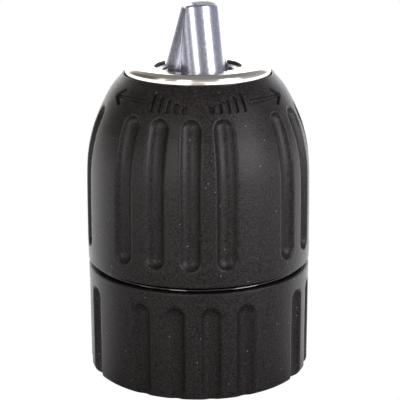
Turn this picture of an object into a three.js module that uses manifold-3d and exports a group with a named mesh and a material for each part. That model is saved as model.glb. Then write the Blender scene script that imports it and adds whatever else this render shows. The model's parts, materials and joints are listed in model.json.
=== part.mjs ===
// Two-sleeve keyless drill chuck for shanks up to 13 mm, with a 1/2-20 UNF spindle socket.
// Millimetres. +Z is the chuck's axis, pointing to the jaws; the origin is the centre of the rear face.
// The jaws are drawn closed. Turning the front sleeve counter-clockwise, seen from the jaws, opens them.
import * as THREE from 'three';
import { mergeVertices } from 'three/addons/utils/BufferGeometryUtils.js';
import Module from 'manifold-3d';

const wasm = await Module();
wasm.setup();

// ---------- driving dimensions ----------
const TURN = 2 * Math.PI;
const DEGREE = Math.PI / 180;
const SEGMENTS = 40; // flats around every turned piece
const BAR_SEGMENTS = 20; // flats around a jaw and its bore
const SOCKET_SEGMENTS = 16;
const NUT_THREAD_SEGMENTS = 36;
const RUNNING_GAP = 0.18; // between surfaces that slide on each other
const PRESS_GAP = 0.1; // drawn between pieces that are pressed together

// Jaws: round bars in inclined bores, whose axes meet the chuck's axis at one point when closed.
const JAW_RADIUS = 4.5;
const JAW_TILT = 15.5 * DEGREE;
const JAW_CROSSING_Z = 66.4;
const JAW_REAR_Z = 34;
const JAW_TRAVEL = 20.58;
const JAW_GRIP_RADIUS = 1; // from the axis to a gripping edge, closed
const JAWS = [
  { name: 'jaw_1', azimuth: -69 * DEGREE, tipZ: 70.8 },
  { name: 'jaw_2', azimuth: 51 * DEGREE, tipZ: 70.8 },
  { name: 'jaw_3', azimuth: 171 * DEGREE, tipZ: 70.3 },
];
const CLOSED_JAW_GAP = 0.3;

// Operating thread between the jaws' backs and the nut.
const THREAD_PITCH = 2 * Math.cos(JAW_TILT); // along the chuck's axis, 2 mm along a jaw
const THREAD_DEPTH = 0.9;
const THREAD_TIP_WIDTH = 0.5;
const THREAD_FLANK_WIDTH = 0.25;

// Body, from the rear face to the nose.
const TAIL_RADIUS = 13.5;
const FLANGE_RADIUS = 18.4;
const FLANGE_Z = [24.6, 28];
const BEARING_SEAT_RADIUS = 12.2;
const NUT_GROOVE_RADIUS = 10.8;
const NUT_GROOVE_Z = [31.4, 40.4];
const BARREL_RADIUS = 13.3;
const NOSE_RADIUS = 12.45;
const NOSE_Z = [50, 59.45];
const SHANK_BORE_RADIUS = 7;
const SHANK_BORE_FLOOR_Z = 20.5;
const SCREW_HOLE_RADIUS = 3.25;

// Spindle socket: 1/2-20 UNF.
const SOCKET_MAJOR_RADIUS = 6.35;
const SOCKET_MINOR_RADIUS = 5.67;
const SOCKET_PITCH = 1.27;
const SOCKET_DEPTH = 16;

// Nut, its band and the thrust bearing behind it.
const NUT_RADIUS = 16.7;
const NUT_Z = [31.8, 40];
const NUT_SPLIT = 0.2;
const BAND_RADIUS = 18.1;
const BAND_Z = [32, 39.8];
const RACE_RADIUS = 18.6;
const LOWER_RACE_Z = [28.05, 28.85];
const UPPER_RACE_Z = [30.95, 31.7];
const BALL_COUNT = 18;
const BALL_RADIUS = 1;
const BALL_CIRCLE_RADIUS = 17.3;
const BALL_Z = 29.9;
const CAGE_RADII = [15.9, 18.8];
const CAGE_THICKNESS = 0.8;
const POCKET_RADIUS = 1.14;

// Sleeves.
const SLEEVE_RADIUS = 21.65;
const REAR_SLEEVE_Z = [0.2, 21.5];
const HUB_TOP_Z = 10;
const REAR_CAVITY_RADIUS = 19;
const SPIGOT_RADIUS = 20.4;
const SPIGOT_TOP_Z = 24.3;
const FRONT_SLEEVE_Z = 22.5;
const FRONT_BORE_RADIUS = 19;
const FRONT_BORE_TOP_Z = 46;
const COUNTERBORE_RADIUS = 20.8;
const COUNTERBORE_TOP_Z = 25;
const LEDGE_RADIUS = 13.5;
const LEDGE_Z = [54.5, 57.6];
const LIP_RADIUS = 14.1;
const LIP_TOP_Z = 58.7;
const RIB_COUNT = 6;
const RIB_WIDTH = 2;
const RIB_RADIUS = 17.6;
const RIB_STEP = 0.5; // the rib reaches this much further in above the band

// Grip flutes: four groups of four around each sleeve.
const FLUTE_GROUPS = 4;
const FLUTES_IN_GROUP = 4;
const FLUTE_STEP = 18 * DEGREE;
const FLUTE_DEPTH = 1.25;
const FLUTE_RADIUS = 2.15;
const REAR_FLUTE_TOP_Z = 16.7; // centre of its round end
const REAR_FLUTE_START = -120 * DEGREE;
const FRONT_FLUTE_Z = [27.65, 51.3]; // centres of its round ends
const FRONT_FLUTE_START = -130 * DEGREE;

// Nose cap: a cup pressed over the body's nose, a little dished between its rounded edge and its hole.
const CAP_RADIUS = 13.87;
const CAP_RIM_Z = 57.95;
const CAP_TOP_Z = 60.4;
const CAP_CORNER = 1.2;
const CAP_HOLE_RADIUS = 8.4;
const CAP_HOLE_Z = 60.1;
const CAP_SKIRT_RADIUS = 13.2;
const CAP_SKIRT_Z = 52;

// Outside of the front sleeve as [radius, z]: a long gentle belly, then the shoulder up to the lip.
const FRONT_OUTLINE = [
  [21.7, 23],
  [21.75, 27],
  [21.65, 38],
  [21.35, 43.5],
  [20.4, 48],
  [19.2, 51.2],
  [17.65, 54.4],
  [16.3, 56.6],
  [15.15, 57.9],
  [14.5, 58.55],
];

// ---------- solids from three.js geometry ----------
function signedVolume(positions, corners) {
  const a = new THREE.Vector3();
  const b = new THREE.Vector3();
  const c = new THREE.Vector3();
  let volume = 0;
  for (let i = 0; i < corners.length; i += 3) {
    a.fromArray(positions, 3 * corners[i]);
    b.fromArray(positions, 3 * corners[i + 1]);
    c.fromArray(positions, 3 * corners[i + 2]);
    volume += a.dot(b.cross(c)) / 6;
  }
  return volume;
}

// A closed geometry as a solid with its faces pointing out.
function solid(geometry) {
  const bare = geometry.clone();
  bare.deleteAttribute('normal');
  bare.deleteAttribute('uv');
  const merged = mergeVertices(bare, 1e-5);
  const positions = merged.attributes.position.array;
  const corners = [];
  for (let i = 0; i < merged.index.count; i += 3) {
    const a = merged.index.getX(i);
    const b = merged.index.getX(i + 1);
    const c = merged.index.getX(i + 2);
    if (a !== b && b !== c && c !== a) corners.push(a, b, c);
  }
  if (signedVolume(positions, corners) < 0) corners.reverse();
  return new wasm.Manifold(
    new wasm.Mesh({
      numProp: 3,
      vertProperties: new Float32Array(positions),
      triVerts: new Uint32Array(corners),
    }),
  );
}

function geometryOf(manifold) {
  const mesh = manifold.getMesh();
  const geometry = new THREE.BufferGeometry();
  geometry.setAttribute('position', new THREE.BufferAttribute(mesh.vertProperties, mesh.numProp));
  geometry.setIndex(new THREE.BufferAttribute(mesh.triVerts, 1));
  return geometry;
}

function joined(solids) {
  return solids.reduce((whole, next) => whole.add(next));
}

// A closed outline of [radius, z] points turned about the chuck's axis.
function turned(outline, segments = SEGMENTS) {
  const points = [...outline, outline[0]].map(([radius, z]) => new THREE.Vector2(radius, z));
  return solid(new THREE.LatheGeometry(points, segments).rotateX(Math.PI / 2));
}

function ring(inner, outer, [bottom, top]) {
  return turned([
    [inner, bottom],
    [outer, bottom],
    [outer, top],
    [inner, top],
  ]);
}

function arc(radius, z, size, from, to, steps) {
  const points = [];
  for (let i = 0; i <= steps; i++) {
    const angle = (from + ((to - from) * i) / steps) * DEGREE;
    points.push([radius + size * Math.cos(angle), z + size * Math.sin(angle)]);
  }
  return points;
}

function box(width, depth, height, x, y, z) {
  return new THREE.BoxGeometry(width, depth, height).translate(x, y, z);
}

// Closed body through a list of cross-sections that have the same number of points.
function lofted(sections) {
  const count = sections[0].length;
  const positions = sections.flat().flat();
  const corners = [];
  for (let s = 0; s + 1 < sections.length; s++) {
    for (let i = 0; i < count; i++) {
      const a = s * count + i;
      const b = s * count + ((i + 1) % count);
      corners.push(a, b, b + count, a, b + count, a + count);
    }
  }
  const last = (sections.length - 1) * count;
  for (let i = 1; i + 1 < count; i++) {
    corners.push(0, i + 1, i, last, last + i, last + i + 1);
  }
  const geometry = new THREE.BufferGeometry();
  geometry.setAttribute('position', new THREE.Float32BufferAttribute(positions, 3));
  geometry.setIndex(corners);
  return solid(geometry);
}

// Right-hand threaded core, closed by a fan at each end. A crest is one point of the thread's
// form: its share of the pitch above the turn's start, and its radius as a function of z.
function threadedCore(crests, pitch, startZ, turns, segments) {
  const rows = turns * crests.length;
  const positions = [];
  const vertexAt = (segment, row) => {
    const crest = crests[row % crests.length];
    const turn = Math.floor(row / crests.length);
    const z = startZ + pitch * (turn + crest.share + segment / segments);
    const angle = (segment / segments) * TURN;
    const radius = crest.radius(z);
    return [radius * Math.cos(angle), radius * Math.sin(angle), z];
  };
  const quad = (a, b, c, d) => positions.push(...a, ...b, ...c, ...a, ...c, ...d);
  const low = [0, 0, startZ - pitch];
  const high = [0, 0, startZ + pitch * (turns + 2)];
  for (let i = 0; i < segments; i++) {
    for (let row = 0; row + 1 < rows; row++) {
      quad(vertexAt(i, row), vertexAt(i + 1, row), vertexAt(i + 1, row + 1), vertexAt(i, row + 1));
    }
    positions.push(...low, ...vertexAt(i + 1, 0), ...vertexAt(i, 0));
    positions.push(...high, ...vertexAt(i, rows - 1), ...vertexAt(i + 1, rows - 1));
  }
  for (let step = 0; step < crests.length; step++) {
    positions.push(...low, ...vertexAt(0, step), ...vertexAt(0, step + 1));
    positions.push(...high, ...vertexAt(0, rows + step), ...vertexAt(0, rows - 1 + step));
  }
  const geometry = new THREE.BufferGeometry();
  geometry.setAttribute('position', new THREE.Float32BufferAttribute(positions, 3));
  return solid(geometry);
}

// ---------- shared geometry ----------
function jawAxisRadius(z) {
  return (JAW_CROSSING_Z - z) * Math.tan(JAW_TILT);
}

function jawBackRadius(z) {
  return jawAxisRadius(z) + JAW_RADIUS / Math.cos(JAW_TILT);
}

// A round bar on the jaw axis of azimuth 0, between two heights of its end centres.
function inclinedBar(radius, bottom, top) {
  const length = (top - bottom) / Math.cos(JAW_TILT);
  const middle = (top + bottom) / 2;
  const bar = new THREE.CylinderGeometry(radius, radius, length, BAR_SEGMENTS).rotateX(Math.PI / 2);
  bar.rotateY(-JAW_TILT).translate(jawAxisRadius(middle), 0, middle);
  return solid(bar);
}

function fluteAngles(start) {
  const angles = [];
  for (let group = 0; group < FLUTE_GROUPS; group++) {
    for (let i = 0; i < FLUTES_IN_GROUP; i++) {
      angles.push(start + (group * TURN) / FLUTE_GROUPS + i * FLUTE_STEP);
    }
  }
  return angles;
}

const frontPoints = FRONT_OUTLINE.map(([radius, z]) => new THREE.Vector2(radius, z));
const frontSpline = new THREE.SplineCurve(frontPoints);

// Radius of the front sleeve's outline at a height between the outline's ends.
function frontSleeveRadius(z) {
  const points = frontSpline.getPoints(60);
  const above = points.findIndex((point) => point.y > z);
  const upper = points[above];
  const lower = points[above - 1];
  return lower.x + ((z - lower.y) * (upper.x - lower.x)) / (upper.y - lower.y);
}

// ---------- body ----------
function spindleSocket() {
  const crests = [
    { share: 0, radius: () => SOCKET_MINOR_RADIUS },
    { share: 0.5, radius: () => SOCKET_MAJOR_RADIUS },
  ];
  const startZ = -2 * SOCKET_PITCH;
  const turns = Math.ceil(SOCKET_DEPTH / SOCKET_PITCH) + 3;
  const thread = threadedCore(crests, SOCKET_PITCH, startZ, turns, SOCKET_SEGMENTS);
  const mouth = SOCKET_MAJOR_RADIUS + 0.4;
  const reach = ring(0, SOCKET_MAJOR_RADIUS + 1, [-1, SOCKET_DEPTH]);
  const leadIn = turned([
    [0, -1],
    [mouth + 1, -1],
    [SOCKET_MINOR_RADIUS, mouth - SOCKET_MINOR_RADIUS],
    [0, mouth - SOCKET_MINOR_RADIUS],
  ]);
  return thread.intersect(reach).add(leadIn);
}

function makeBody() {
  const edge = 0.6;
  const steel = turned([
    [SCREW_HOLE_RADIUS, 0],
    [TAIL_RADIUS - edge, 0],
    [TAIL_RADIUS, edge],
    [TAIL_RADIUS, FLANGE_Z[0]],
    [FLANGE_RADIUS, FLANGE_Z[0]],
    [FLANGE_RADIUS, FLANGE_Z[1]],
    [BEARING_SEAT_RADIUS, FLANGE_Z[1]],
    [BEARING_SEAT_RADIUS, NUT_GROOVE_Z[0]],
    [NUT_GROOVE_RADIUS, NUT_GROOVE_Z[0]],
    [NUT_GROOVE_RADIUS, NUT_GROOVE_Z[1]],
    [BARREL_RADIUS, NUT_GROOVE_Z[1]],
    [BARREL_RADIUS, NOSE_Z[0]],
    [NOSE_RADIUS, NOSE_Z[0]],
    [NOSE_RADIUS, NOSE_Z[1] - edge],
    [NOSE_RADIUS - edge, NOSE_Z[1]],
    [SHANK_BORE_RADIUS + edge / 2, NOSE_Z[1]],
    [SHANK_BORE_RADIUS, NOSE_Z[1] - edge / 2],
    [SHANK_BORE_RADIUS, SHANK_BORE_FLOOR_Z + edge],
    [SCREW_HOLE_RADIUS, SHANK_BORE_FLOOR_Z],
  ]);
  const openRearZ = JAW_REAR_Z - (JAW_TRAVEL + 2 * RUNNING_GAP) * Math.cos(JAW_TILT);
  const bores = JAWS.map((jaw) =>
    inclinedBar(JAW_RADIUS + RUNNING_GAP, openRearZ, jaw.tipZ).rotate([0, 0, jaw.azimuth / DEGREE]),
  );
  return steel.subtract(spindleSocket()).subtract(joined(bores));
}

// ---------- jaws ----------
// One groove across the back of the jaw of azimuth 0, centred at the given height. Its floor curves
// about the chuck's axis as the nut's thread does there, and it climbs with the thread.
function jawGroove(centreZ) {
  const nutMiddle = (NUT_Z[0] + NUT_Z[1]) / 2;
  const floorRadius = jawBackRadius(nutMiddle) - THREAD_DEPTH;
  const floorX = jawBackRadius(centreZ) - THREAD_DEPTH - floorRadius;
  const floorHalf = THREAD_TIP_WIDTH / 2 + RUNNING_GAP;
  const overshoot = 2;
  const mouthHalf = floorHalf + THREAD_FLANK_WIDTH * (overshoot / THREAD_DEPTH);
  const steps = 4;
  const reach = 24 * DEGREE;
  const sections = [];
  for (let i = 0; i <= steps; i++) {
    const angle = reach * ((2 * i) / steps - 1);
    const rise = (THREAD_PITCH * angle) / TURN;
    const corner = (radius, z) => [
      floorX + radius * Math.cos(angle),
      radius * Math.sin(angle),
      centreZ + rise + z,
    ];
    sections.push([
      corner(floorRadius, -floorHalf),
      corner(floorRadius + overshoot, -mouthHalf),
      corner(floorRadius + overshoot, mouthHalf),
      corner(floorRadius, floorHalf),
    ]);
  }
  return lofted(sections);
}

// The jaws differ only in where their grooves start, because the nut's thread climbs around them.
function makeJaw({ azimuth, tipZ }) {
  const size = 60;
  const openLimit = REAR_CAVITY_RADIUS - 0.4;
  const closedLimit = openLimit - JAW_TRAVEL * Math.sin(JAW_TILT);
  const rearRelief = solid(box(size, size, size, closedLimit + size / 2, 0, JAW_REAR_Z));
  const gripping = solid(box(size, size, size, JAW_GRIP_RADIUS - size / 2, 0, tipZ));
  let jaw = inclinedBar(JAW_RADIUS, JAW_REAR_Z, tipZ).subtract(rearRelief).subtract(gripping);
  for (const side of [-1, 1]) {
    const flank = box(size, size, size, CLOSED_JAW_GAP / 2 - size / 2, 0, tipZ);
    jaw = jaw.subtract(solid(flank.rotateZ(side * 30 * DEGREE)));
  }
  const threadTopZ = NUT_Z[1] + JAW_TRAVEL * Math.cos(JAW_TILT) + THREAD_PITCH / 2;
  const offset = (THREAD_PITCH * azimuth) / TURN;
  for (let turn = -2; NUT_Z[0] + offset + turn * THREAD_PITCH < threadTopZ; turn++) {
    jaw = jaw.subtract(jawGroove(NUT_Z[0] + offset + turn * THREAD_PITCH));
  }
  return jaw;
}

// ---------- nut and band ----------
function nutThreadCore() {
  const tip = (z) => jawBackRadius(z) - THREAD_DEPTH + RUNNING_GAP;
  const root = (z) => jawBackRadius(z) + RUNNING_GAP;
  const tipHalf = THREAD_TIP_WIDTH / 2 / THREAD_PITCH;
  const rootHalf = tipHalf + THREAD_FLANK_WIDTH / THREAD_PITCH;
  const crests = [
    { share: -tipHalf, radius: tip },
    { share: tipHalf, radius: tip },
    { share: rootHalf, radius: root },
    { share: 1 - rootHalf, radius: root },
  ];
  const startZ = NUT_Z[0] - 2 * THREAD_PITCH;
  const turns = Math.ceil((NUT_Z[1] - NUT_Z[0]) / THREAD_PITCH) + 3;
  return threadedCore(crests, THREAD_PITCH, startZ, turns, NUT_THREAD_SEGMENTS);
}

function makeNut() {
  return ring(NUT_GROOVE_RADIUS, NUT_RADIUS, NUT_Z).subtract(nutThreadCore());
}

function makeNutHalf(nut, side) {
  const size = 60;
  const middle = (NUT_Z[0] + NUT_Z[1]) / 2;
  return nut.intersect(solid(box(size, size, size, side * (size / 2 + NUT_SPLIT / 2), 0, middle)));
}

function makeNutBand() {
  let band = ring(NUT_RADIUS + PRESS_GAP, BAND_RADIUS, BAND_Z);
  const slotFloor = RIB_RADIUS - RUNNING_GAP;
  const depth = 2;
  const height = 3 * (BAND_Z[1] - BAND_Z[0]);
  for (let i = 0; i < RIB_COUNT; i++) {
    const slot = box(depth, RIB_WIDTH + 2 * RUNNING_GAP, height, slotFloor + depth / 2, 0, BAND_Z[0]);
    band = band.subtract(solid(slot.rotateZ((i * TURN) / RIB_COUNT)));
  }
  return band;
}

// ---------- thrust bearing ----------
function ballAngle(i) {
  return (i * TURN) / BALL_COUNT;
}

function makeCage() {
  const half = CAGE_THICKNESS / 2;
  let cage = ring(CAGE_RADII[0], CAGE_RADII[1], [BALL_Z - half, BALL_Z + half]);
  for (let i = 0; i < BALL_COUNT; i++) {
    const pocket = new THREE.CylinderGeometry(POCKET_RADIUS, POCKET_RADIUS, 3 * CAGE_THICKNESS, 8);
    pocket.rotateX(Math.PI / 2).translate(BALL_CIRCLE_RADIUS, 0, BALL_Z).rotateZ(ballAngle(i));
    cage = cage.subtract(solid(pocket));
  }
  return cage;
}

// ---------- sleeves ----------
// A ball-ended cutter along Z, between the centres of its round ends.
function fluteCutter(bottom, top) {
  const cutter = new THREE.CapsuleGeometry(FLUTE_RADIUS, top - bottom, 3, 12, 6).rotateX(Math.PI / 2);
  return cutter.translate(FLUTE_RADIUS - FLUTE_DEPTH, 0, (top + bottom) / 2);
}

// The rear sleeve's flutes run out through its rear face.
function rearFlute(angle) {
  const below = -2 * FLUTE_RADIUS;
  const cutter = fluteCutter(below, REAR_FLUTE_TOP_Z).translate(SLEEVE_RADIUS, 0, 0);
  return solid(cutter.rotateZ(angle));
}

function makeRearSleeve() {
  const bottomEdge = 1.6;
  const topEdge = 0.4;
  const [bottom, top] = REAR_SLEEVE_Z;
  const shell = turned([
    [TAIL_RADIUS + PRESS_GAP, bottom],
    ...arc(SLEEVE_RADIUS - bottomEdge, bottom + bottomEdge, bottomEdge, -90, 0, 4),
    ...arc(SLEEVE_RADIUS - topEdge, top - topEdge, topEdge, 0, 90, 2),
    [SPIGOT_RADIUS, top],
    [SPIGOT_RADIUS, SPIGOT_TOP_Z],
    [REAR_CAVITY_RADIUS, SPIGOT_TOP_Z],
    [REAR_CAVITY_RADIUS, HUB_TOP_Z],
    [TAIL_RADIUS + PRESS_GAP, HUB_TOP_Z],
  ]);
  return shell.subtract(joined(fluteAngles(REAR_FLUTE_START).map(rearFlute)));
}

// The front sleeve's flutes are bent to follow its outline over the shoulder.
function frontFlute(angle) {
  const [bottom, top] = FRONT_FLUTE_Z;
  const cutter = fluteCutter(bottom, top);
  const position = cutter.attributes.position;
  for (let i = 0; i < position.count; i++) {
    const followed = THREE.MathUtils.clamp(position.getZ(i), bottom, top + FLUTE_RADIUS);
    position.setX(i, position.getX(i) + frontSleeveRadius(followed));
  }
  return solid(cutter.rotateZ(angle));
}

// Ribs inside the front sleeve: the lower step fits a slot of the band, the upper step sits above it.
function driveRib(angle) {
  const rooted = FRONT_BORE_RADIUS + 0.6;
  const bottomZ = BAND_Z[0] + 0.6;
  const shoulderZ = BAND_Z[1] + 0.3;
  const outline = new THREE.Shape([
    new THREE.Vector2(RIB_RADIUS, bottomZ),
    new THREE.Vector2(rooted, bottomZ),
    new THREE.Vector2(rooted, FRONT_BORE_TOP_Z),
    new THREE.Vector2(RIB_RADIUS - RIB_STEP, FRONT_BORE_TOP_Z),
    new THREE.Vector2(RIB_RADIUS - RIB_STEP, shoulderZ),
    new THREE.Vector2(RIB_RADIUS, shoulderZ),
  ]);
  const rib = new THREE.ExtrudeGeometry(outline, { depth: RIB_WIDTH, bevelEnabled: false });
  rib.translate(0, 0, -RIB_WIDTH / 2).rotateX(Math.PI / 2).rotateZ(angle);
  return solid(rib);
}

function makeFrontSleeve() {
  const edge = 0.3;
  const outside = frontSpline.getPoints(12).map((point) => [point.x, point.y]);
  const shell = turned([
    [COUNTERBORE_RADIUS, FRONT_SLEEVE_Z],
    [outside[0][0] - edge, FRONT_SLEEVE_Z],
    ...outside,
    [LIP_RADIUS + edge, LIP_TOP_Z],
    [LIP_RADIUS, LIP_TOP_Z - edge],
    [LIP_RADIUS, LEDGE_Z[1]],
    [LEDGE_RADIUS, LEDGE_Z[1]],
    [LEDGE_RADIUS, LEDGE_Z[0]],
    [LEDGE_RADIUS + 1, LEDGE_Z[0] - 1],
    [FRONT_BORE_RADIUS, FRONT_BORE_TOP_Z],
    [FRONT_BORE_RADIUS, COUNTERBORE_TOP_Z],
    [COUNTERBORE_RADIUS, COUNTERBORE_TOP_Z],
  ]);
  const ribs = [];
  for (let i = 0; i < RIB_COUNT; i++) ribs.push(driveRib((i * TURN) / RIB_COUNT));
  const flutes = fluteAngles(FRONT_FLUTE_START).map(frontFlute);
  return shell.add(joined(ribs)).subtract(joined(flutes));
}

function makeNoseCap() {
  const inner = NOSE_RADIUS + PRESS_GAP;
  const underside = NOSE_Z[1] + PRESS_GAP;
  const edge = 0.2;
  return turned([
    [inner, CAP_SKIRT_Z],
    [CAP_SKIRT_RADIUS, CAP_SKIRT_Z],
    [CAP_SKIRT_RADIUS, CAP_RIM_Z],
    [CAP_RADIUS, CAP_RIM_Z],
    ...arc(CAP_RADIUS - CAP_CORNER, CAP_TOP_Z - CAP_CORNER, CAP_CORNER, 0, 90, 5),
    [CAP_HOLE_RADIUS + edge, CAP_HOLE_Z],
    [CAP_HOLE_RADIUS, CAP_HOLE_Z - edge],
    [CAP_HOLE_RADIUS, underside],
    [inner, underside],
  ]);
}

// ---------- finishes ----------
function finish(color, roughness, metalness) {
  return new THREE.MeshStandardMaterial({ color, roughness, metalness });
}

const blackPlastic = () => finish(0x1c1c1e, 0.65, 0);
const chrome = () => finish(0xe4e4e4, 0.12, 1);
const satinSteel = () => finish(0xa3a3ad, 0.35, 1);
const darkSteel = () => finish(0x77777a, 0.45, 1);
const brass = () => finish(0xb5a36a, 0.4, 1);

// ---------- assembly ----------
const group = new THREE.Group();

function place(name, geometry, material, parent = group) {
  const mesh = new THREE.Mesh(geometry, material);
  mesh.name = name;
  parent.add(mesh);
  return mesh;
}

place('body', geometryOf(makeBody()), satinSteel());
place('rear_sleeve', geometryOf(makeRearSleeve()), blackPlastic());
place('nose_cap', geometryOf(makeNoseCap()), chrome());
place('front_sleeve', geometryOf(makeFrontSleeve()), blackPlastic());

for (const jaw of JAWS) {
  place(jaw.name, geometryOf(makeJaw(jaw)), satinSteel()).rotation.z = jaw.azimuth;
}

const nut = makeNut();
place('nut_half_a', geometryOf(makeNutHalf(nut, 1)), darkSteel());
place('nut_half_b', geometryOf(makeNutHalf(nut, -1)), darkSteel());
place('nut_band', geometryOf(makeNutBand()), darkSteel());

const lowerRaceBore = jawBackRadius(LOWER_RACE_Z[0]) + 0.25;
const upperRaceBore = jawBackRadius(UPPER_RACE_Z[0]) + 0.25;
place('lower_race', geometryOf(ring(lowerRaceBore, RACE_RADIUS, LOWER_RACE_Z)), satinSteel());
place('upper_race', geometryOf(ring(upperRaceBore, RACE_RADIUS, UPPER_RACE_Z)), satinSteel());
place('ball_cage', geometryOf(makeCage()), brass());

const ballRow = new THREE.Group();
ballRow.position.z = BALL_Z;
group.add(ballRow);
for (let i = 0; i < BALL_COUNT; i++) {
  const ball = new THREE.IcosahedronGeometry(BALL_RADIUS, 1);
  const name = `ball_${String(i + 1).padStart(2, '0')}`;
  const x = BALL_CIRCLE_RADIUS * Math.cos(ballAngle(i));
  const y = BALL_CIRCLE_RADIUS * Math.sin(ballAngle(i));
  place(name, ball, chrome(), ballRow).position.set(x, y, 0);
}

export default group;
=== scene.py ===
import json
import math

import bpy
import numpy as np
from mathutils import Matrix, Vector


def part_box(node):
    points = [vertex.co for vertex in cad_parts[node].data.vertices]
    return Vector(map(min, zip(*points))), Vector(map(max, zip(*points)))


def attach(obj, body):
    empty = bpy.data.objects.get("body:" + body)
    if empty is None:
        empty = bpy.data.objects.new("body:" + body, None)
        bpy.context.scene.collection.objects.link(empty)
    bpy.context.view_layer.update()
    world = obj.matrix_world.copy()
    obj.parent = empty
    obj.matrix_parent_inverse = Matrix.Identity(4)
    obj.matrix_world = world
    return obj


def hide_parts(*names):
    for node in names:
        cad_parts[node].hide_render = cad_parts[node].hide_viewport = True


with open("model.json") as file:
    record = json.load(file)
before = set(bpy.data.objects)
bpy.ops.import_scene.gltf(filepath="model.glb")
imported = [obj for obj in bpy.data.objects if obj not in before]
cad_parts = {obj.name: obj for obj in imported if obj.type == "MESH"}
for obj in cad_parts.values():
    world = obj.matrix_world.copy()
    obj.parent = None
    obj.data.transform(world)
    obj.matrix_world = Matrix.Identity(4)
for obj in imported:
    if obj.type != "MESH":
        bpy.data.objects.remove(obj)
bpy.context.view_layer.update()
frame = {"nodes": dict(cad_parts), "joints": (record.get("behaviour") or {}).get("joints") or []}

# Shapes are worked out in millimetres, and made in metres. Materials, lights and camera are in metres.
MM = 0.001
TURN = 2 * math.pi
FRONT = -math.pi / 2  # the azimuth of the side that faces the camera, which is -Y


# ---------- sizes taken from the frame ----------
def node_z(node):
    """Lowest and highest point of a CAD node, in millimetres."""
    low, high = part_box(node)
    return low.z / MM, high.z / MM


def from_front(degrees):
    """Azimuth of a direction that is this far to the right of the front."""
    return FRONT + math.radians(degrees)


FRONT_BOTTOM_Z, FRONT_TOP_Z = node_z("front_sleeve")
REAR_BOTTOM_Z, SPIGOT_TOP_Z = node_z("rear_sleeve")
CAP_BOTTOM_Z, CAP_TOP_Z = node_z("nose_cap")
NOSE_Z = node_z("body")[1]
SHOULDER_Z = 21.5  # top edge of the rear sleeve's grip, at the seam
SLEEVE_RADIUS = 21.65


# ---------- mesh helpers ----------
def smooth_min(a, b, width):
    """The smaller of a and b, with the corner between them rounded over width."""
    h = np.clip(0.5 + 0.5 * (b - a) / width, 0, 1)
    return b * (1 - h) + a * h - width * h * (1 - h)


def smooth_step(x, low, high):
    """0 below low and 1 above high, with a smooth rise between."""
    t = np.clip((x - low) / (high - low), 0, 1)
    return t * t * (3 - 2 * t)


def farthest_inside(inside, low, high, steps=26):
    """For each element the largest distance between low and high where inside(distance) is positive."""
    low = np.array(low, float)
    high = np.array(high, float)
    for _ in range(steps):
        middle = (low + high) / 2
        hit = inside(middle) > 0
        low = np.where(hit, middle, low)
        high = np.where(hit, high, middle)
    return (low + high) / 2


def arc(radius, z, size, start, end, steps):
    """Points [radius, z] on an arc, from one angle in degrees to another."""
    angles = np.radians(np.linspace(start, end, steps + 1))
    return [[radius + size * math.cos(a), z + size * math.sin(a)] for a in angles]


def line(start, end, step):
    """Points from start up to but not including end, about step apart."""
    count = max(1, round(math.dist(start, end) / step))
    return [list(p) for p in np.linspace(start, end, count, endpoint=False)]


def spline(points, count):
    """Catmull-Rom curve through the points, as an array of count + 1 points."""
    points = np.array(points, float)
    padded = np.vstack([points[0], points, points[-1]])
    result = []
    for t in np.linspace(0, len(points) - 1, count + 1):
        i = min(int(t), len(points) - 2)
        p0, p1, p2, p3 = padded[i : i + 4]
        u = t - i
        result.append(
            0.5 * (2 * p1 + (p2 - p0) * u + (2 * p0 - 5 * p1 + 4 * p2 - p3) * u**2)
            + 0.5 * (3 * p1 - p0 - 3 * p2 + p3) * u**3
        )
    return np.array(result)


def make_object(name, vertices_mm, faces, sharp_degrees=35):
    """A smooth-shaded mesh object, with edges sharp past an angle."""
    mesh = bpy.data.meshes.new(name)
    mesh.from_pydata((np.asarray(vertices_mm) * MM).tolist(), [], faces)
    mesh.validate()
    mesh.shade_smooth()
    mesh.set_sharp_from_angle(angle=math.radians(sharp_degrees))
    piece = bpy.data.objects.new(name, mesh)
    bpy.context.scene.collection.objects.link(piece)
    return piece


def grid_faces(rows, columns, close_rows):
    """Quads of a grid that closes round its columns, and round its rows too if close_rows."""
    faces = []
    for r in range(rows if close_rows else rows - 1):
        low = r * columns
        high = ((r + 1) % rows) * columns
        for c in range(columns):
            d = (c + 1) % columns
            faces.append((low + c, low + d, high + d, high + c))
    return faces


def capped_faces(rows, columns):
    """Faces of a grid that closes round its columns, with a fan at each end from one of the two points
    that come after the grid's own."""
    faces = grid_faces(rows, columns, False)
    first_point = rows * columns
    last_row = first_point - columns
    for i in range(columns):
        j = (i + 1) % columns
        faces.append((j, i, first_point))
        faces.append((last_row + i, last_row + j, first_point + 1))
    return faces


def turned(name, outline, azimuths, shape=None):
    """A closed outline of [radius, z] turned about Z. shape(radius, azimuth, z) may change the radius."""
    radius, z = np.array(outline, float).T
    r = np.repeat(radius[:, None], len(azimuths), axis=1)
    zz = np.repeat(z[:, None], len(azimuths), axis=1)
    aa = np.repeat(np.asarray(azimuths)[None, :], len(radius), axis=0)
    if shape:
        r, zz = shape(r, aa, zz)
    vertices = np.stack([r * np.cos(aa), r * np.sin(aa), zz], axis=-1).reshape(-1, 3)
    return make_object(name, vertices, grid_faces(len(radius), len(azimuths), True))


def even_azimuths(count):
    return np.arange(count) * TURN / count


# ---------- grip flutes ----------
FLUTE_DEPTH = 1.25
FLUTE_RADIUS = 2.15
FLUTE_EDGE = 0.3  # width over which a flute's edge is rounded
FLUTE_STEP = math.radians(18)
REAR_FLUTE_START = from_front(-30)
REAR_FLUTE_TOP_Z = 16.7  # centre of its round end
FRONT_FLUTE_START = from_front(-40)
FRONT_FLUTE_Z = (27.65, 51.3)  # centres of its round ends


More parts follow.
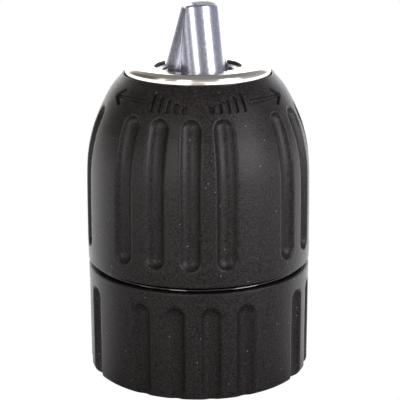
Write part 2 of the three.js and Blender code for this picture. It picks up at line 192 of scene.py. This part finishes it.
def nearest_flute(azimuth, first):
    """Angle from each azimuth to the nearest flute, of four groups of four."""
    in_group = (azimuth - first + FLUTE_STEP) % (TURN / 4) - FLUTE_STEP
    index = np.clip(np.round(in_group / FLUTE_STEP), 0, 3)
    return in_group - index * FLUTE_STEP


def fluted_radius(surface, azimuth, first, past_end):
    """Radius of a sleeve's surface with its flutes cut. past_end is how far a point lies past the
    centre of a flute's round end."""
    offset = nearest_flute(azimuth, first)
    centre = surface - FLUTE_DEPTH + FLUTE_RADIUS

    def inside(radius):
        across = radius * np.sin(offset)
        out = radius * np.cos(offset) - centre
        to_path = np.sqrt(across**2 + out**2 + past_end**2)
        return smooth_min(surface - radius, to_path - FLUTE_RADIUS, FLUTE_EDGE)

    return farthest_inside(inside, surface - 2 * FLUTE_DEPTH, surface + 0.1)


# ---------- front sleeve ----------
FRONT_OUTLINE = [
    [21.7, 23],
    [21.75, 27],
    [21.65, 38],
    [21.35, 43.5],
    [20.4, 48],
    [19.2, 51.2],
    [17.65, 54.4],
    [16.3, 56.6],
    [15.15, 57.9],
    [14.5, 58.55],
]
COUNTERBORE_RADIUS = 20.8
COUNTERBORE_TOP_Z = 25
FRONT_BORE_RADIUS = 19
FRONT_BORE_TOP_Z = 46
LIP_RADIUS = 14.1
LEDGE_RADIUS = 13.5
LEDGE_Z = (54.5, 57.6)
MARK_MIDDLE_Z = 55.75
MARK_Z = (53.9, 57.5)  # the rows between these are close together
MARK_SLOPE = math.radians(32)  # of the shoulder where the marks are, from vertical
MARK_DEPTH = 0.5
MARK_HALF_WIDTH = 0.33
MARK_EDGE = 0.16
MARK_REACH = 72  # degrees either side of the front, within which all the marks lie
MARK_COLUMN_STEP = 0.38  # degrees between the columns there
PLAIN_COLUMN_STEP = 0.8


def front_rows():
    """Heights of the rows of the sleeve's outside: close together where its shape needs them."""
    start, end = FRONT_OUTLINE[0][1], FRONT_OUTLINE[-1][1]
    # Each band is its lowest height, its highest and the step between rows.
    bands = [
        (start, 25.2, 0.45),
        (25.2, 28, 0.15),
        (28, 42, 1.0),
        (42, 50.5, 0.5),
        (50.5, MARK_Z[0], 0.15),
        (MARK_Z[0], MARK_Z[1], 0.11),
        (MARK_Z[1], end, 0.15),
    ]
    rows = [z for low, high, step in bands for z in np.arange(low, high - step / 2, step)]
    return np.array([*rows, end])


def front_outline_radius(z):
    """Radius of the sleeve's outside at each height, before its flutes and marks are cut."""
    curve = spline(FRONT_OUTLINE, 400)
    return np.interp(z, curve[:, 1], curve[:, 0])


def mark_strokes():
    """Engraved marks as strokes (x0, y0, x1, y1) on the shoulder, in mm right of the front and above
    the marks' middle: on each side an arrow that says which way to turn, and a ramp of ticks."""
    strokes = []
    for side in (-1, 1):
        tail = 10.2 * side
        tip = 18.6 * side
        strokes.append((tail, 0, tip, 0))
        for up in (-1, 1):
            strokes.append((tip, 0, tip - 1.9 * side, 1.35 * up))
        for i in range(5):
            x = (2.4 + 1.5 * i) * side
            strokes.append((x, -1.45, x, -0.75 + 0.55 * i))
    return strokes


def mark_depth(azimuth, z):
    """How deep the marks are cut at each point."""
    right = (azimuth - FRONT + math.pi) % TURN - math.pi
    x = right * front_outline_radius(MARK_MIDDLE_Z)
    y = (z - MARK_MIDDLE_Z) / math.cos(MARK_SLOPE)
    nearest = np.full(x.shape, np.inf)
    for x0, y0, x1, y1 in mark_strokes():
        along = np.array([x1 - x0, y1 - y0])
        share = ((x - x0) * along[0] + (y - y0) * along[1]) / (along @ along)
        share = np.clip(share, 0, 1)
        to_stroke = np.hypot(x - x0 - share * along[0], y - y0 - share * along[1])
        nearest = np.minimum(nearest, to_stroke)
    bottom = MARK_HALF_WIDTH - MARK_EDGE / 2
    return MARK_DEPTH * (1 - smooth_step(nearest, bottom, bottom + MARK_EDGE))


def make_front_sleeve():
    """The turning sleeve's shell: its outside with flutes and marks, and the CAD's bore, ledge and lip."""
    rows = front_rows()
    outside = np.stack([front_outline_radius(rows), rows], axis=1).tolist()
    edge = 0.35
    bottom = arc(outside[0][0] - edge, FRONT_BOTTOM_Z + edge, edge, -90, -10, 5)
    lip_edge = 0.3
    lip = arc(LIP_RADIUS + lip_edge, FRONT_TOP_Z - lip_edge, lip_edge, 62, 180, 10)
    inside = [
        [LIP_RADIUS, LEDGE_Z[1]],
        [LEDGE_RADIUS, LEDGE_Z[1]],
        [LEDGE_RADIUS, LEDGE_Z[0]],
        [LEDGE_RADIUS + 1, LEDGE_Z[0] - 1],
        [FRONT_BORE_RADIUS, FRONT_BORE_TOP_Z],
        [FRONT_BORE_RADIUS, COUNTERBORE_TOP_Z],
        [COUNTERBORE_RADIUS, COUNTERBORE_TOP_Z],
        [COUNTERBORE_RADIUS, FRONT_BOTTOM_Z],
    ]
    outline = [*bottom, *outside, *lip, *inside]
    grip = slice(len(bottom), len(bottom) + len(outside))
    marked = np.arange(-MARK_REACH, MARK_REACH, MARK_COLUMN_STEP)
    plain = np.arange(MARK_REACH, 360 - MARK_REACH, PLAIN_COLUMN_STEP)
    azimuths = np.radians(np.concatenate([marked, plain])) + FRONT

    def shape(radius, azimuth, z):
        height = z[grip]
        low, high = FRONT_FLUTE_Z
        past_end = np.maximum(0, np.maximum(low - height, height - high))
        cut = fluted_radius(radius[grip], azimuth[grip], FRONT_FLUTE_START, past_end)
        marks = mark_depth(azimuth[grip], height)
        radius[grip] = cut - marks * math.cos(MARK_SLOPE)
        z[grip] = height - marks * math.sin(MARK_SLOPE)
        return radius, z

    return turned("front_sleeve_shell", outline, azimuths, shape)


# ---------- rear sleeve ----------
SPIGOT_RADIUS = 20.4
CAVITY_RADIUS = 19
HUB_RADIUS = 13.6
HUB_TOP_Z = 10
RING_FILLET = 0.35  # at the foot of the spigot
SPIGOT_EDGE = 0.4
HUB_EDGE = 0.3
REAR_COLUMNS = 720


def make_rear_sleeve():
    """The fixed sleeve: fluted outside, a spigot that the front sleeve runs on, and a hub."""
    edge = 1.3
    top_edge = 0.3
    straight_end = REAR_FLUTE_TOP_Z - 1  # the flutes are straight below this
    flute_end = REAR_FLUTE_TOP_Z + FLUTE_RADIUS

    def wall(low, high, step):
        return line([SLEEVE_RADIUS, low], [SLEEVE_RADIUS, high], step)

    grip = [
        *arc(SLEEVE_RADIUS - edge, REAR_BOTTOM_Z + edge, edge, -90, 0, 8),
        *wall(REAR_BOTTOM_Z + edge + 0.5, straight_end, 1),
        *wall(straight_end, flute_end, 0.15),
        *wall(flute_end, SHOULDER_Z - top_edge, 0.5),
        *arc(SLEEVE_RADIUS - top_edge, SHOULDER_Z - top_edge, top_edge, 0, 90, 5),
    ]
    face = line([HUB_RADIUS + HUB_EDGE, REAR_BOTTOM_Z], grip[0], 0.6)
    inside = [
        *arc(SPIGOT_RADIUS + RING_FILLET, SHOULDER_Z + RING_FILLET, RING_FILLET, -90, -180, 6),
        *arc(SPIGOT_RADIUS - SPIGOT_EDGE, SPIGOT_TOP_Z - SPIGOT_EDGE, SPIGOT_EDGE, 0, 90, 4),
        [CAVITY_RADIUS, SPIGOT_TOP_Z],
        [CAVITY_RADIUS, HUB_TOP_Z],
        [HUB_RADIUS, HUB_TOP_Z],
        [HUB_RADIUS, REAR_BOTTOM_Z + HUB_EDGE],
    ]
    outline = [*face, *grip, *inside]
    fluted = slice(0, len(face) + len(grip))

    def shape(radius, azimuth, z):
        past_end = np.maximum(0, z[fluted] - REAR_FLUTE_TOP_Z)
        surface = np.full(radius[fluted].shape, float(SLEEVE_RADIUS))
        cut = fluted_radius(surface, azimuth[fluted], REAR_FLUTE_START, past_end)
        radius[fluted] = np.minimum(radius[fluted], cut)
        return radius, z

    return turned("rear_sleeve_shell", outline, even_azimuths(REAR_COLUMNS), shape)


# ---------- nose cap ----------
CAP_RADIUS = 13.87
CAP_CORNER = 1.2
CAP_RIM_Z = 57.95
CAP_HOLE_RADIUS = 8.4
CAP_HOLE_Z = 60.1
CAP_SKIRT_RADIUS = 13.2
CAP_SEAT_RADIUS = 12.55
CAP_GAP = 0.1  # under its top, above the body's nose
CAP_COLUMNS = 256


def make_nose_cap():
    """A pressed cap with a round shoulder, dished slightly down to its hole."""
    underside = NOSE_Z + CAP_GAP
    edge = 0.15
    outline = [
        [CAP_SEAT_RADIUS, CAP_BOTTOM_Z],
        [CAP_SKIRT_RADIUS, CAP_BOTTOM_Z],
        [CAP_SKIRT_RADIUS, CAP_RIM_Z],
        [CAP_RADIUS - edge, CAP_RIM_Z],
        [CAP_RADIUS, CAP_RIM_Z + edge],
        *arc(CAP_RADIUS - CAP_CORNER, CAP_TOP_Z - CAP_CORNER, CAP_CORNER, 0, 93, 14),
        *arc(CAP_HOLE_RADIUS + edge, CAP_HOLE_Z - edge, edge, 93, 180, 6),
        [CAP_HOLE_RADIUS, underside],
        [CAP_SEAT_RADIUS, underside],
    ]
    return turned("nose_cap_shell", outline, even_azimuths(CAP_COLUMNS))


# ---------- jaws ----------
JAW_RADIUS = 4.5
JAW_CROSSING_Z = 66.4  # where the bars' own axes meet
JAW_REAR_Z = 34
JAW_GRIP_RADIUS = 1
JAW_FLANK = math.radians(60)  # from the jaw's middle plane to each flank
JAW_HALF_GAP = 0.02
JAW_CORE = 2.1  # a line this far out from the bar's own axis is inside all of its length
JAW_EDGE = 0.08  # width over which its edges are rounded
JAW_REAR_EDGE = 0.3
JAW_TIP_EDGE = 0.4
JAW_RELIEF_RADIUS = 18.6  # how far out the open jaws reach
NUT_MIDDLE_Z = 35.9
THREAD_LEAD = 2.0  # along the jaw
THREAD_DEPTH = 0.9
THREAD_PHASE_Z = 31.8  # the middle of a groove at azimuth 0
THREAD_TOP_Z = 60  # no groove has its middle above this
THREAD_FLOOR_HALF = 0.44  # half the width of a groove's floor
THREAD_FLANK = 0.28  # how much wider each side of a groove is at its mouth


def jaw_joint(node):
    return next(j for j in frame["joints"] if j["child"] == node)


def jaw_stations(rear, tip, toothed):
    """Where a jaw's sections are along its own axis: close together at its grooves and its tip."""
    rounded = tip - 2 * JAW_TIP_EDGE
    return np.concatenate([
        [rear, rear + JAW_REAR_EDGE / 2],
        np.arange(rear + JAW_REAR_EDGE, toothed, 0.2),
        np.arange(toothed, rounded, 0.5),
        np.arange(rounded, tip - 0.04, 0.08),
        [tip],
    ])


def jaw_directions(w, tilt):
    """Angles of the rays of each section across a jaw, so that some of them meet its corners exactly."""
    flank_rise = math.tan(JAW_FLANK)
    flank_gap = JAW_HALF_GAP / math.cos(JAW_FLANK)
    a = flank_rise * math.cos(tilt)
    b = -flank_rise * w * math.sin(tilt) - flank_gap
    root = np.sqrt(np.maximum(0, a * a * b * b - (1 + a * a) * (b * b - JAW_RADIUS**2)))
    corner_u = (root - a * b) / (1 + a * a)
    corner = np.arctan2(a * corner_u + b, corner_u - JAW_CORE)
    grip_u = (JAW_GRIP_RADIUS + w * math.sin(tilt)) / math.cos(tilt)
    grip = np.arctan2(flank_rise * JAW_GRIP_RADIUS - flank_gap, grip_u - JAW_CORE)
    back = np.linspace(-corner, corner, 96, endpoint=False, axis=1)
    flank = np.linspace(corner, grip, 12, endpoint=False, axis=1)
    face = np.linspace(grip, TURN - grip, 6, endpoint=False, axis=1)
    other_flank = np.linspace(TURN - grip, TURN - corner, 12, endpoint=False, axis=1)
    return np.hstack([back, flank, face, other_flank])


def in_chuck(u, y, w, tilt):
    """A point u outward from the bar's own axis and w up along it, as x outward and z up in the chuck."""
    x = u * math.cos(tilt) - w * math.sin(tilt)
    z = JAW_CROSSING_Z + u * math.sin(tilt) + w * math.cos(tilt)
    return x, y, z


def groove_gap(x, y, z, azimuth, tilt):
    """Distance out of the nearest groove for the nut's thread, which is a cone that the jaw slides past."""
    pitch = THREAD_LEAD * math.cos(tilt)
    nut_back = (JAW_CROSSING_Z - NUT_MIDDLE_Z) * math.tan(tilt) + JAW_RADIUS / math.cos(tilt)
    turn = (z - THREAD_PHASE_Z) / pitch - (azimuth + np.arctan2(y, nut_back)) / TURN
    above = (turn - np.round(turn)) * pitch
    nut_axis = (NUT_MIDDLE_Z - z) * math.tan(tilt)
    depth = np.hypot(x - nut_axis, y) - (nut_back - THREAD_DEPTH)
    gap = np.abs(above) - THREAD_FLOOR_HALF - THREAD_FLANK * np.clip(depth / THREAD_DEPTH, 0, 1)
    return np.where(z - above < THREAD_TOP_Z, np.maximum(gap, -depth), 2 * JAW_RADIUS)


def round_jaw_ends(reach, w, rear, tip):
    """Draws the sections in at both ends, and adds one more row inside each end to keep its face flat."""
    from_tip = np.clip((w - (tip - JAW_TIP_EDGE)) / JAW_TIP_EDGE, 0, 1)
    from_rear = np.clip((rear + JAW_REAR_EDGE - w) / JAW_REAR_EDGE, 0, 1)
    inset = JAW_TIP_EDGE * (1 - np.sqrt(1 - 0.9 * from_tip**2)) + JAW_REAR_EDGE * from_rear
    reach = np.maximum(reach - inset, 2 * JAW_TIP_EDGE)
    return np.vstack([reach[:1] - JAW_TIP_EDGE, reach, reach[-1:] - JAW_TIP_EDGE])


def make_jaw(node):
    """A round bar along its slide's axis, with two flanks that meet its neighbours, a narrow gripping
    face, and a grooved back. Each point is found along a ray from a line inside the bar."""
    slide = jaw_joint(node)
    down = Vector(slide["axis"]).normalized()
    azimuth = math.atan2(down.y, down.x)
    tilt = math.acos(-down.z)
    relief = JAW_RELIEF_RADIUS - slide["range_m"][1] / MM * math.sin(tilt)
    tip_z = node_z(node)[1] - JAW_RADIUS * math.sin(tilt)
    rear, tip, toothed = [(z - JAW_CROSSING_Z) / math.cos(tilt) for z in (JAW_REAR_Z, tip_z, THREAD_TOP_Z)]
    stations = jaw_stations(rear, tip, toothed + THREAD_LEAD / 2)
    d = jaw_directions(stations, tilt)
    w = np.repeat(stations[:, None], d.shape[1], axis=1)

    def inside(reach):
        u = JAW_CORE + reach * np.cos(d)
        x, y, z = in_chuck(u, reach * np.sin(d), w, tilt)
        solid = JAW_RADIUS - np.hypot(u, y)
        for cut in (
            math.sin(JAW_FLANK) * x - math.cos(JAW_FLANK) * np.abs(y) - JAW_HALF_GAP,
            x - JAW_GRIP_RADIUS,
            relief - x,
            groove_gap(x, y, z, azimuth, tilt),
        ):
            solid = smooth_min(solid, cut, JAW_EDGE)
        return solid

    reach = farthest_inside(inside, np.zeros(w.shape), np.full(w.shape, 2 * JAW_RADIUS))
    reach = round_jaw_ends(reach, w, rear, tip)
    d = np.vstack([d[:1], d, d[-1:]])
    w = np.vstack([w[:1], w, w[-1:]])
    points = np.stack(in_chuck(JAW_CORE + reach * np.cos(d), reach * np.sin(d), w, tilt), axis=-1)
    ends = [in_chuck(JAW_CORE, 0, rear, tilt), in_chuck(JAW_CORE, 0, tip, tilt)]
    x, y, z = np.vstack([points.reshape(-1, 3), ends]).T
    c, s = math.cos(azimuth), math.sin(azimuth)
    vertices = np.stack([x * c - y * s, x * s + y * c, z], axis=1)
    return make_object(node + "_bar", vertices, capped_faces(*d.shape))


# ---------- materials ----------
def new_material(name, color, roughness, metallic=0.0):
    """A material with its node tree and its shader."""
    material = bpy.data.materials.new(name)
    material.use_nodes = True
    shader = material.node_tree.nodes["Principled BSDF"]
    shader.inputs["Base Color"].default_value = (*color, 1)
    shader.inputs["Roughness"].default_value = roughness
    shader.inputs["Metallic"].default_value = metallic
    return material, material.node_tree, shader


def add_node(tree, kind, **settings):
    node = tree.nodes.new(kind)
    for key, value in settings.items():
        setattr(node, key, value)
    return node


def noise(tree, scale, detail=2.0, stretch=(1, 1, 1)):
    """Noise of features about 1 / scale metres across, in the piece's own coordinates."""
    where = add_node(tree, "ShaderNodeTexCoord")
    mapping = add_node(tree, "ShaderNodeMapping")
    mapping.inputs["Scale"].default_value = stretch
    texture = add_node(tree, "ShaderNodeTexNoise")
    texture.inputs["Scale"].default_value = scale
    texture.inputs["Detail"].default_value = detail
    tree.links.new(where.outputs["Object"], mapping.inputs["Vector"])
    tree.links.new(mapping.outputs["Vector"], texture.inputs["Vector"])
    return texture.outputs["Fac"]


def ramp(tree, value, low, high, low_color, high_color):
    """A color that goes from one to the other while value goes from low to high."""
    node = add_node(tree, "ShaderNodeValToRGB")
    node.color_ramp.elements[0].position = low
    node.color_ramp.elements[0].color = (*low_color, 1)
    node.color_ramp.elements[1].position = high
    node.color_ramp.elements[1].color = (*high_color, 1)
    tree.links.new(value, node.inputs["Fac"])
    return node.outputs["Color"]


def remap(tree, value, low, high, to_low, to_high):
    """A number that goes from to_low to to_high while value goes from low to high, and stays there."""
    node = add_node(tree, "ShaderNodeMapRange")
    node.inputs["From Min"].default_value = low
    node.inputs["From Max"].default_value = high
    node.inputs["To Min"].default_value = to_low
    node.inputs["To Max"].default_value = to_high
    tree.links.new(value, node.inputs["Value"])
    return node.outputs["Result"]


def bump(tree, shader, height, distance, strength=1.0):
    node = add_node(tree, "ShaderNodeBump")
    node.inputs["Distance"].default_value = distance
    node.inputs["Strength"].default_value = strength
    tree.links.new(height, node.inputs["Height"])
    tree.links.new(node.outputs["Normal"], shader.inputs["Normal"])


def grained_plastic():
    """Matte black glass-filled nylon from a spark-eroded mould, with a few pale specks of dust."""
    material, tree, shader = new_material("grained_black_plastic", (0.015, 0.013, 0.015), 0.38)
    shader.inputs["Specular IOR Level"].default_value = 0.35
    grain = noise(tree, 3200, 2)
    color = ramp(tree, grain, 0.35, 0.65, (0.0015, 0.001, 0.001), (0.033, 0.0245, 0.0255))
    specks = add_node(tree, "ShaderNodeTexVoronoi")
    specks.inputs["Scale"].default_value = 500
    where = add_node(tree, "ShaderNodeTexCoord")
    tree.links.new(where.outputs["Object"], specks.inputs["Vector"])
    dust = add_node(tree, "ShaderNodeMix", data_type="RGBA")
    dust.inputs["B"].default_value = (0.3, 0.32, 0.33, 1)
    tree.links.new(remap(tree, specks.outputs["Distance"], 0.035, 0.06, 1, 0), dust.inputs["Factor"])
    tree.links.new(color, dust.inputs["A"])
    tree.links.new(dust.outputs["Result"], shader.inputs["Base Color"])
    tree.links.new(remap(tree, grain, 0.3, 0.7, 0.34, 0.5), shader.inputs["Roughness"])
    bump(tree, shader, noise(tree, 2600, 2), 0.00006, 0.8)
    return material


def smooth_plastic(name, specular):
    """The unlined plastic of the seam's ring. With its specular almost off it is a copy in painted shade,
    for the ring's wall down in the gap; with it high it is the glossy copy on the fillet.
    """
    material, tree, shader = new_material(name, (0.001, 0.001, 0.001), 0.08)
    shader.inputs["Specular IOR Level"].default_value = specular
    bump(tree, shader, noise(tree, 900, 2), 0.000004, 0.5)
    return material


def polished_metal():
    material, tree, shader = new_material("polished_metal", (0.9, 0.84, 0.78), 0.18, 1.0)
    smear = noise(tree, 260, 3)
    tree.links.new(remap(tree, smear, 0.3, 0.7, 0.15, 0.23), shader.inputs["Roughness"])
    return material


def satin_steel():
    """Ground steel with a fine grain along the jaws."""
    material, tree, shader = new_material("satin_steel", (0.5, 0.5, 0.6), 0.26, 1.0)
    grain = noise(tree, 3400, 2, (1, 1, 0.2))
    tree.links.new(remap(tree, grain, 0.3, 0.7, 0.23, 0.28), shader.inputs["Roughness"])
    color = ramp(tree, grain, 0.3, 0.7, (0.46, 0.46, 0.57), (0.56, 0.56, 0.66))
    tree.links.new(color, shader.inputs["Base Color"])
    return material


def turned_steel():
    material, tree, shader = new_material("turned_steel", (0.55, 0.55, 0.56), 0.3, 1.0)
    rings = noise(tree, 1400, 2, (0.2, 0.2, 3))
    tree.links.new(remap(tree, rings, 0.3, 0.7, 0.24, 0.4), shader.inputs["Roughness"])
    bump(tree, shader, rings, 0.00003, 0.4)
    return material


# Dark oiled steel of the nut; the same material is also painted shade on the cap hole's wall and on the
# jaws' tip faces.
def dark_steel():
    material, tree, shader = new_material("oiled_steel_and_painted_shade", (0.22, 0.22, 0.23), 0.35, 1.0)
    patches = noise(tree, 500, 3)
    color = ramp(tree, patches, 0.3, 0.7, (0.16, 0.16, 0.17), (0.3, 0.3, 0.3))
    tree.links.new(color, shader.inputs["Base Color"])
    return material


def cage_brass():
    material, tree, shader = new_material("cage_brass", (0.6, 0.45, 0.2), 0.35, 1.0)
    patches = noise(tree, 700, 3)
    color = ramp(tree, patches, 0.3, 0.7, (0.5, 0.37, 0.16), (0.66, 0.52, 0.25))
    tree.links.new(color, shader.inputs["Base Color"])
    return material


PLASTIC = grained_plastic()
RING_PAINTED_SHADE = smooth_plastic("ring_plastic_painted_shade", 0.01)
RING_GLOSS = smooth_plastic("glossy_ring_plastic", 1.0)
CAP_METAL = polished_metal()
JAW_STEEL = satin_steel()
BODY_STEEL = turned_steel()
DARK_STEEL_AND_PAINTED_SHADE = dark_steel()
BRASS = cage_brass()


def paint(piece, *materials):
    """Gives a piece these materials and no others; the first one covers it."""
    piece.data.materials.clear()
    for material in materials:
        piece.data.materials.append(material)


def paint_where(piece, index, test):
    """Gives the material with this index to the faces that pass test(normal, radius, z)."""
    for polygon in piece.data.polygons:
        radius = math.hypot(polygon.center.x, polygon.center.y) / MM
        if test(polygon.normal, radius, polygon.center.z / MM):
            polygon.material_index = index


# ---------- pieces ----------
def add_piece(piece, body, slot, node, *materials):
    """Puts a piece in place of a CAD node."""
    paint(piece, *materials)
    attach(piece, body)
    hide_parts(node)


front_shell = make_front_sleeve()
add_piece(front_shell, "turning_sleeve", "black_plastic", "front_sleeve", PLASTIC)

rear_shell = make_rear_sleeve()
add_piece(rear_shell, "base", "black_plastic", "rear_sleeve", PLASTIC, RING_PAINTED_SHADE, RING_GLOSS)
# Painted shade: the spigot's wall in the seam gets the ring plastic with its reflection turned almost off,
# so the gap reads black; the fillet below it gets the glossy copy.
paint_where(rear_shell, 2, lambda normal, radius, z: z > SHOULDER_Z and radius < SPIGOT_RADIUS + RING_FILLET)
paint_where(rear_shell, 1, lambda normal, radius, z: z > SHOULDER_Z + RING_FILLET and radius < SPIGOT_RADIUS)

cap_shell = make_nose_cap()
add_piece(cap_shell, "base", "polished_cap", "nose_cap", CAP_METAL, DARK_STEEL_AND_PAINTED_SHADE)


def cap_hole_painted_shade(normal, radius, z):
    return z > NOSE_Z and abs(normal.z) < 0.1 and radius < CAP_HOLE_RADIUS + 0.1


# Painted shade: the wall of the cap's hole gets the dark steel, standing in for the shadow down inside the
# hole.
paint_where(cap_shell, 1, cap_hole_painted_shade)

for jaw in ("jaw_1", "jaw_2", "jaw_3"):
    jaw_shell = make_jaw(jaw)
    add_piece(jaw_shell, jaw, "jaw_steel", jaw, JAW_STEEL, DARK_STEEL_AND_PAINTED_SHADE)
    # Painted shade: faces that look straight up, the jaws' tip faces, get the dark steel so that they read
    # darker.
    paint_where(jaw_shell, 1, lambda normal, radius, z: normal.z > 0.9)

NODE_MATERIALS = {
    "body": BODY_STEEL,
    "nut_half_a": DARK_STEEL_AND_PAINTED_SHADE,
    "nut_half_b": DARK_STEEL_AND_PAINTED_SHADE,
    "nut_band": DARK_STEEL_AND_PAINTED_SHADE,
    "lower_race": CAP_METAL,
    "upper_race": CAP_METAL,
    "ball_cage": BRASS,
}
for name, node in frame["nodes"].items():
    if name.startswith("ball_") and name != "ball_cage":
        node.data.shade_smooth()
        paint(node, CAP_METAL)
    elif name in NODE_MATERIALS:
        paint(node, NODE_MATERIALS[name])


# ---------- stage, camera and light ----------
SKY_LOW = 0.42
SKY_OVERHEAD = 0.24
SKY_BEHIND = 3.0
SKY_LEFT = 0.3  # how much of the sky's light is left beside the chuck, on its left
FLOOR_SIZE = 6.0  # from the middle to each side
FLOOR_FAR = 1.5
FLOOR_BACK = 2.0
SOFTBOX_ELEVATION = 16
SOFTBOX_DISTANCE = 0.45
SOFTBOX_HEIGHT = 0.26
SOFTBOXES = {  # degrees to the right of the front, width, power
    "softbox_left": (-22, 0.13, 0.4),
    "softbox_right": (52, 0.2, 0.9),
    "softbox_side": (-59, 0.1, 0.09),
}


def show_white(tree, shader, white, output):
    """White to the camera, and the shader to everything the floor or the sky lights."""
    rays = add_node(tree, "ShaderNodeLightPath")
    mix = add_node(tree, "ShaderNodeMixShader")
    tree.links.new(rays.outputs["Is Camera Ray"], mix.inputs["Fac"])
    tree.links.new(shader, mix.inputs[1])
    tree.links.new(white, mix.inputs[2])
    tree.links.new(mix.outputs["Shader"], output.inputs["Surface"])


def flat_sheet(name, low_x, low_y, high_x, high_y, z, material):
    """A level rectangle that belongs to the studio."""
    mesh = bpy.data.meshes.new(name)
    corners = [(low_x, low_y, z), (high_x, low_y, z), (high_x, high_y, z), (low_x, high_y, z)]
    mesh.from_pydata(corners, [], [(0, 1, 2, 3)])
    sheet = bpy.data.objects.new(name, mesh)
    bpy.context.scene.collection.objects.link(sheet)
    paint(sheet, material)
    return sheet


def make_floor():
    """White to the camera. As light it is pale near the chuck, and glows behind it and far off."""
    material, tree, shader = new_material("pale_floor", (0.6, 0.6, 0.6), 0.9)
    where = add_node(tree, "ShaderNodeTexCoord")
    shifted = add_node(tree, "ShaderNodeVectorMath", operation="ADD")
    shifted.inputs[1].default_value = (0, 0.014, 0)
    tree.links.new(where.outputs["Object"], shifted.inputs[0])
    direction = add_node(tree, "ShaderNodeVectorMath", operation="NORMALIZE")
    tree.links.new(shifted.outputs["Vector"], direction.inputs[0])
    axes = add_node(tree, "ShaderNodeSeparateXYZ")
    tree.links.new(direction.outputs["Vector"], axes.inputs["Vector"])
    distance = add_node(tree, "ShaderNodeVectorMath", operation="LENGTH")
    tree.links.new(where.outputs["Object"], distance.inputs[0])
    glow = add_node(tree, "ShaderNodeMath", operation="MAXIMUM")
    tree.links.new(remap(tree, axes.outputs["Y"], 0, 0.85, 0, FLOOR_BACK), glow.inputs[0])
    tree.links.new(remap(tree, distance.outputs["Value"], 0.2, 0.3, 0, FLOOR_FAR), glow.inputs[1])
    shader.inputs["Emission Color"].default_value = (1, 1, 1, 1)
    tree.links.new(glow.outputs["Value"], shader.inputs["Emission Strength"])
    white = add_node(tree, "ShaderNodeEmission")
    show_white(tree, shader.outputs["BSDF"], white.outputs["Emission"], tree.nodes["Material Output"])
    flat_sheet("floor", -FLOOR_SIZE, -FLOOR_SIZE, FLOOR_SIZE, FLOOR_SIZE, 0, material)


def make_card():
    """A brown card lying under the camera, seen only as a warm reflection in the cap's polished side."""
    material, _, _ = new_material("brown_card", (0.2, 0.08, 0.025), 0.8)
    card = flat_sheet("card", -0.09, -0.55, 0.07, -0.24, 0.002, material)
    card.visible_camera = False


def make_camera():
    data = bpy.data.cameras.new("camera")
    data.sensor_width = 36
    data.lens = 119
    data.shift_x = 0.0036
    camera = bpy.data.objects.new("camera", data)
    camera.location = (0, -0.2498, 0.1025)
    camera.rotation_euler = (math.pi / 2 - 0.2699, 0, 0)
    camera.rotation_euler.rotate_axis("Z", -0.0039)
    bpy.context.scene.collection.objects.link(camera)
    bpy.context.scene.camera = camera


def make_softbox(name, degrees_right, width, power):
    """An area light that faces the chuck's middle."""
    data = bpy.data.lights.new(name, "AREA")
    data.shape = "RECTANGLE"
    data.size = width
    data.size_y = SOFTBOX_HEIGHT
    data.energy = power
    azimuth = from_front(degrees_right)
    lift = math.radians(SOFTBOX_ELEVATION)
    aim = Vector((0, 0, 0.04))
    away = Vector((math.cos(azimuth) * math.cos(lift), math.sin(azimuth) * math.cos(lift), math.sin(lift)))
    light = bpy.data.objects.new(name, data)
    light.location = aim + away * SOFTBOX_DISTANCE
    light.rotation_euler = (-away).to_track_quat("-Z", "Y").to_euler()
    bpy.context.scene.collection.objects.link(light)


def make_world():
    """White to the camera. As light it is bright behind the chuck, dim overhead and on its left."""
    world = bpy.data.worlds.new("studio")
    world.use_nodes = True
    tree = world.node_tree
    light = tree.nodes["Background"]
    where = add_node(tree, "ShaderNodeTexCoord")
    axes = add_node(tree, "ShaderNodeSeparateXYZ")
    tree.links.new(where.outputs["Generated"], axes.inputs["Vector"])
    sky = remap(tree, axes.outputs["Z"], 0.3, 0.8, SKY_LOW, SKY_OVERHEAD)
    behind = remap(tree, axes.outputs["Y"], 0.7, 0.92, 0, SKY_BEHIND)
    low = remap(tree, axes.outputs["Z"], 0.35, 0.6, 1, 0)
    strength = add_node(tree, "ShaderNodeMath", operation="MULTIPLY_ADD")
    tree.links.new(behind, strength.inputs[0])
    tree.links.new(low, strength.inputs[1])
    tree.links.new(sky, strength.inputs[2])
    shaded = add_node(tree, "ShaderNodeMath", operation="MULTIPLY")
    tree.links.new(strength.outputs["Value"], shaded.inputs[0])
    tree.links.new(remap(tree, axes.outputs["X"], -0.85, -0.65, SKY_LEFT, 1), shaded.inputs[1])
    tree.links.new(shaded.outputs["Value"], light.inputs["Strength"])
    across = remap(tree, axes.outputs["X"], -1, 1, 0, 1)
    tint = ramp(tree, across, 0.2, 0.8, (1, 0.97, 0.9), (0.92, 0.95, 1))
    tree.links.new(tint, light.inputs["Color"])
    white = add_node(tree, "ShaderNodeBackground")
    white.inputs["Color"].default_value = (1, 1, 1, 1)
    show_white(tree, light.outputs["Background"], white.outputs["Background"], tree.nodes["World Output"])
    bpy.context.scene.world = world


make_floor()
make_camera()
make_card()
for name, (degrees_right, width, power) in SOFTBOXES.items():
    make_softbox(name, degrees_right, width, power)
make_world()
bpy.context.scene.view_settings.view_transform = "Standard"
